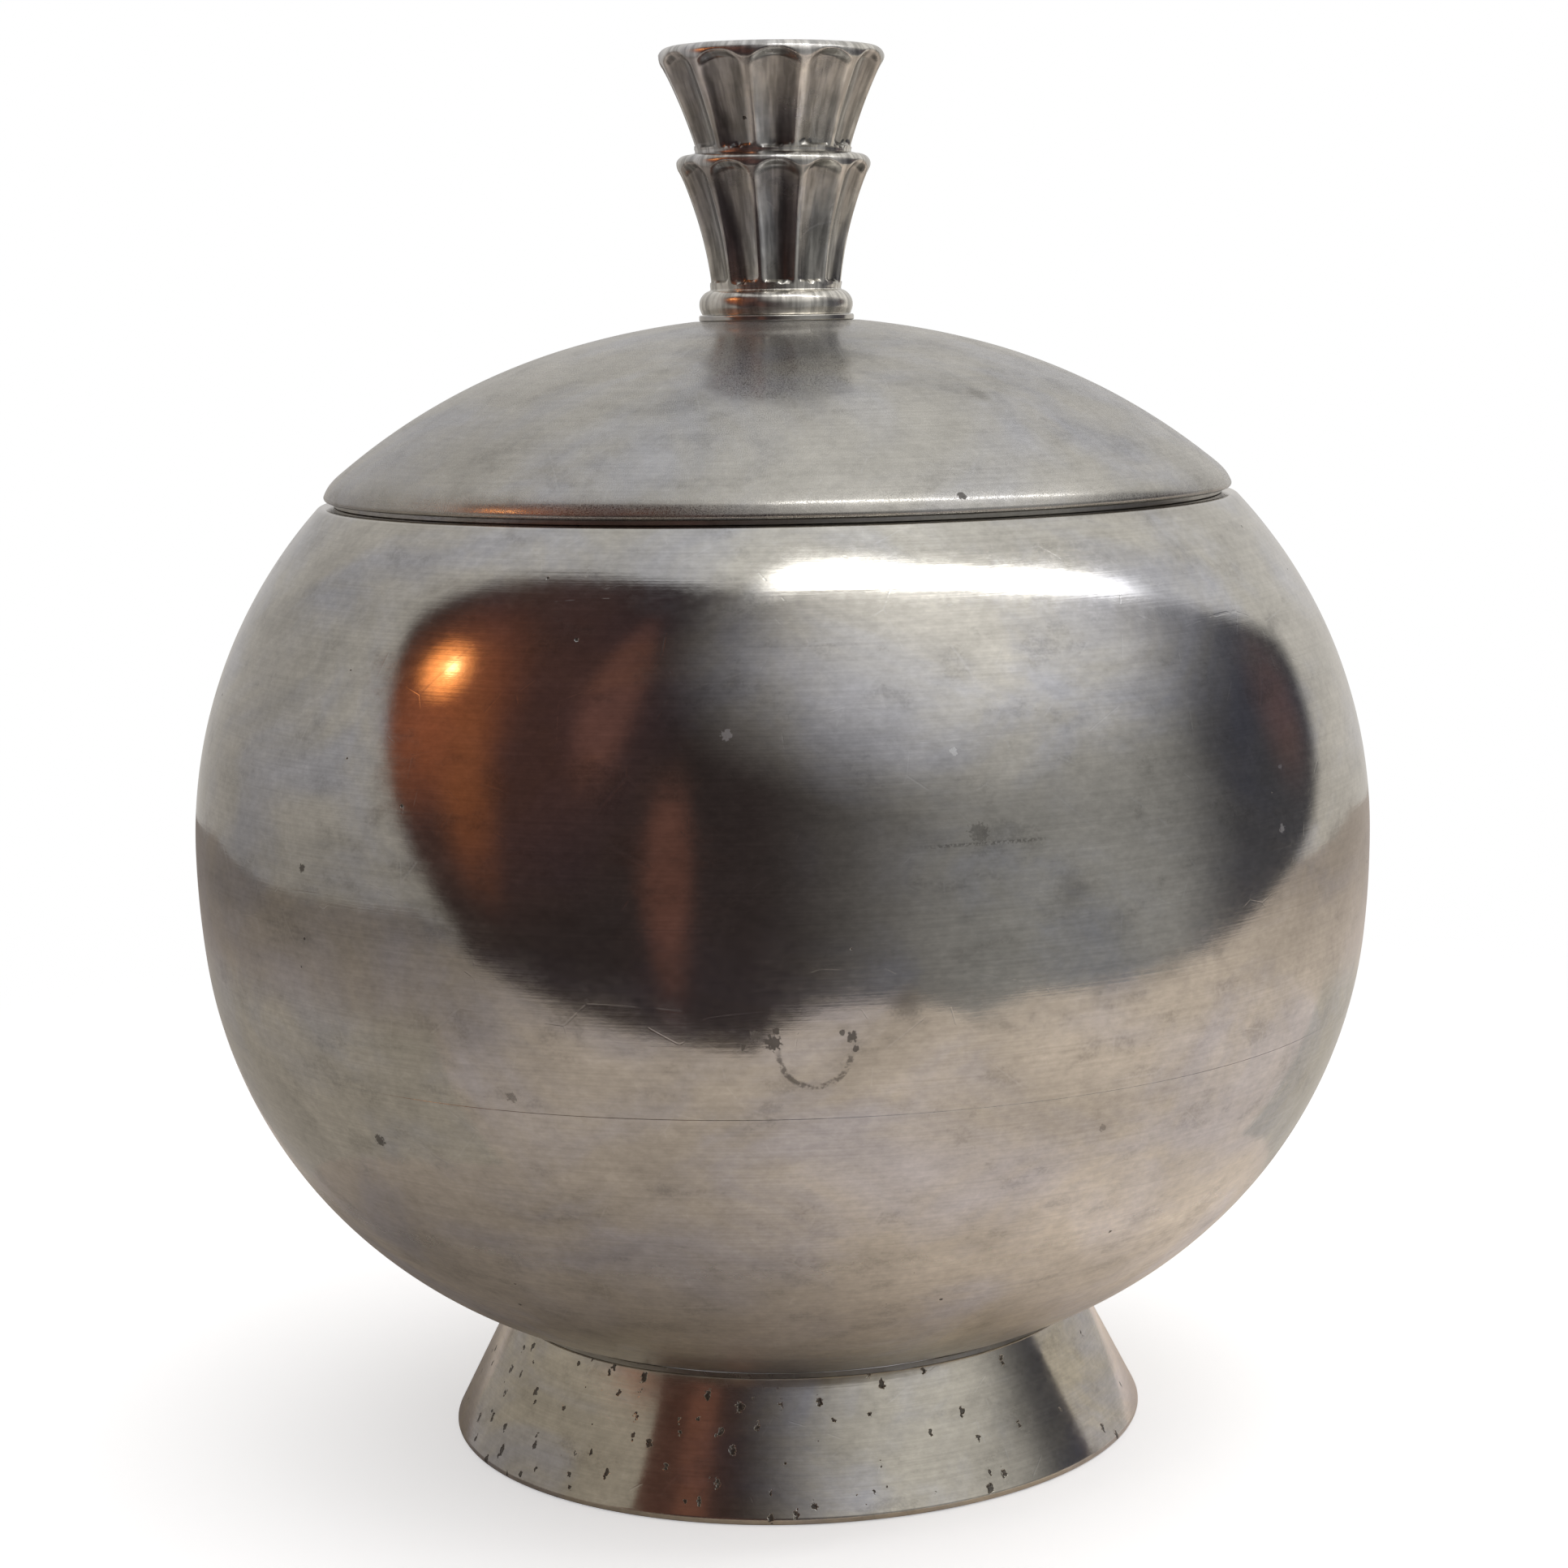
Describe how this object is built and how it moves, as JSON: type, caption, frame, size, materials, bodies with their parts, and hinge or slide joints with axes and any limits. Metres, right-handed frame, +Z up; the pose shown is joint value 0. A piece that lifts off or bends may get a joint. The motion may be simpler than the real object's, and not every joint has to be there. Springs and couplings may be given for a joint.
{
  "type": "lidded sugar bowl",
  "caption": "Round pewter sugar bowl on a flared ring foot, with a lift-off domed lid and a fluted two-tier knob.",
  "frame": {"origin": "centre of the circle that the foot stands on", "axes": "+Z up along the turning axis, from the foot to the knob; +X and +Y are level, and -Y faces the viewer"},
  "size_m": [0.11, 0.11, 0.1295],
  "materials": {
    "bowl": "satin pewter, fine turning lines, light tarnish and scratches",
    "foot": "satin pewter with small dark casting pits",
    "lid": "satin pewter, fine turning lines",
    "lid_inside": "turned pewter, duller than the outside",
    "knob": "cast pewter, dark in the flutes and bright on the ridges",
    "solder": "dull pewter solder, turned or wiped flush",
    "fixing_brass": "dull turned brass",
    "fixing_steel": "plain washer steel"
  },
  "bodies": {
    "bowl": {"bowl_lower": "bowl", "bowl_upper": "bowl", "seam_solder": "solder", "foot_ring": "foot", "foot_solder": "solder"},
    "lid": {"lid_dome": "lid", "lid_flange": "lid_inside", "flange_solder": "solder", "knob": "knob", "knob_collar": "knob", "knob_stud": "fixing_brass", "knob_washer": "fixing_steel", "knob_nut": "fixing_brass"}
  },
  "joints": [
    {"name": "lid_lift", "type": "slide", "parent": "bowl", "child": "lid", "axis": [0, 0, 1], "range_m": [0, 0.06]}
  ]
}
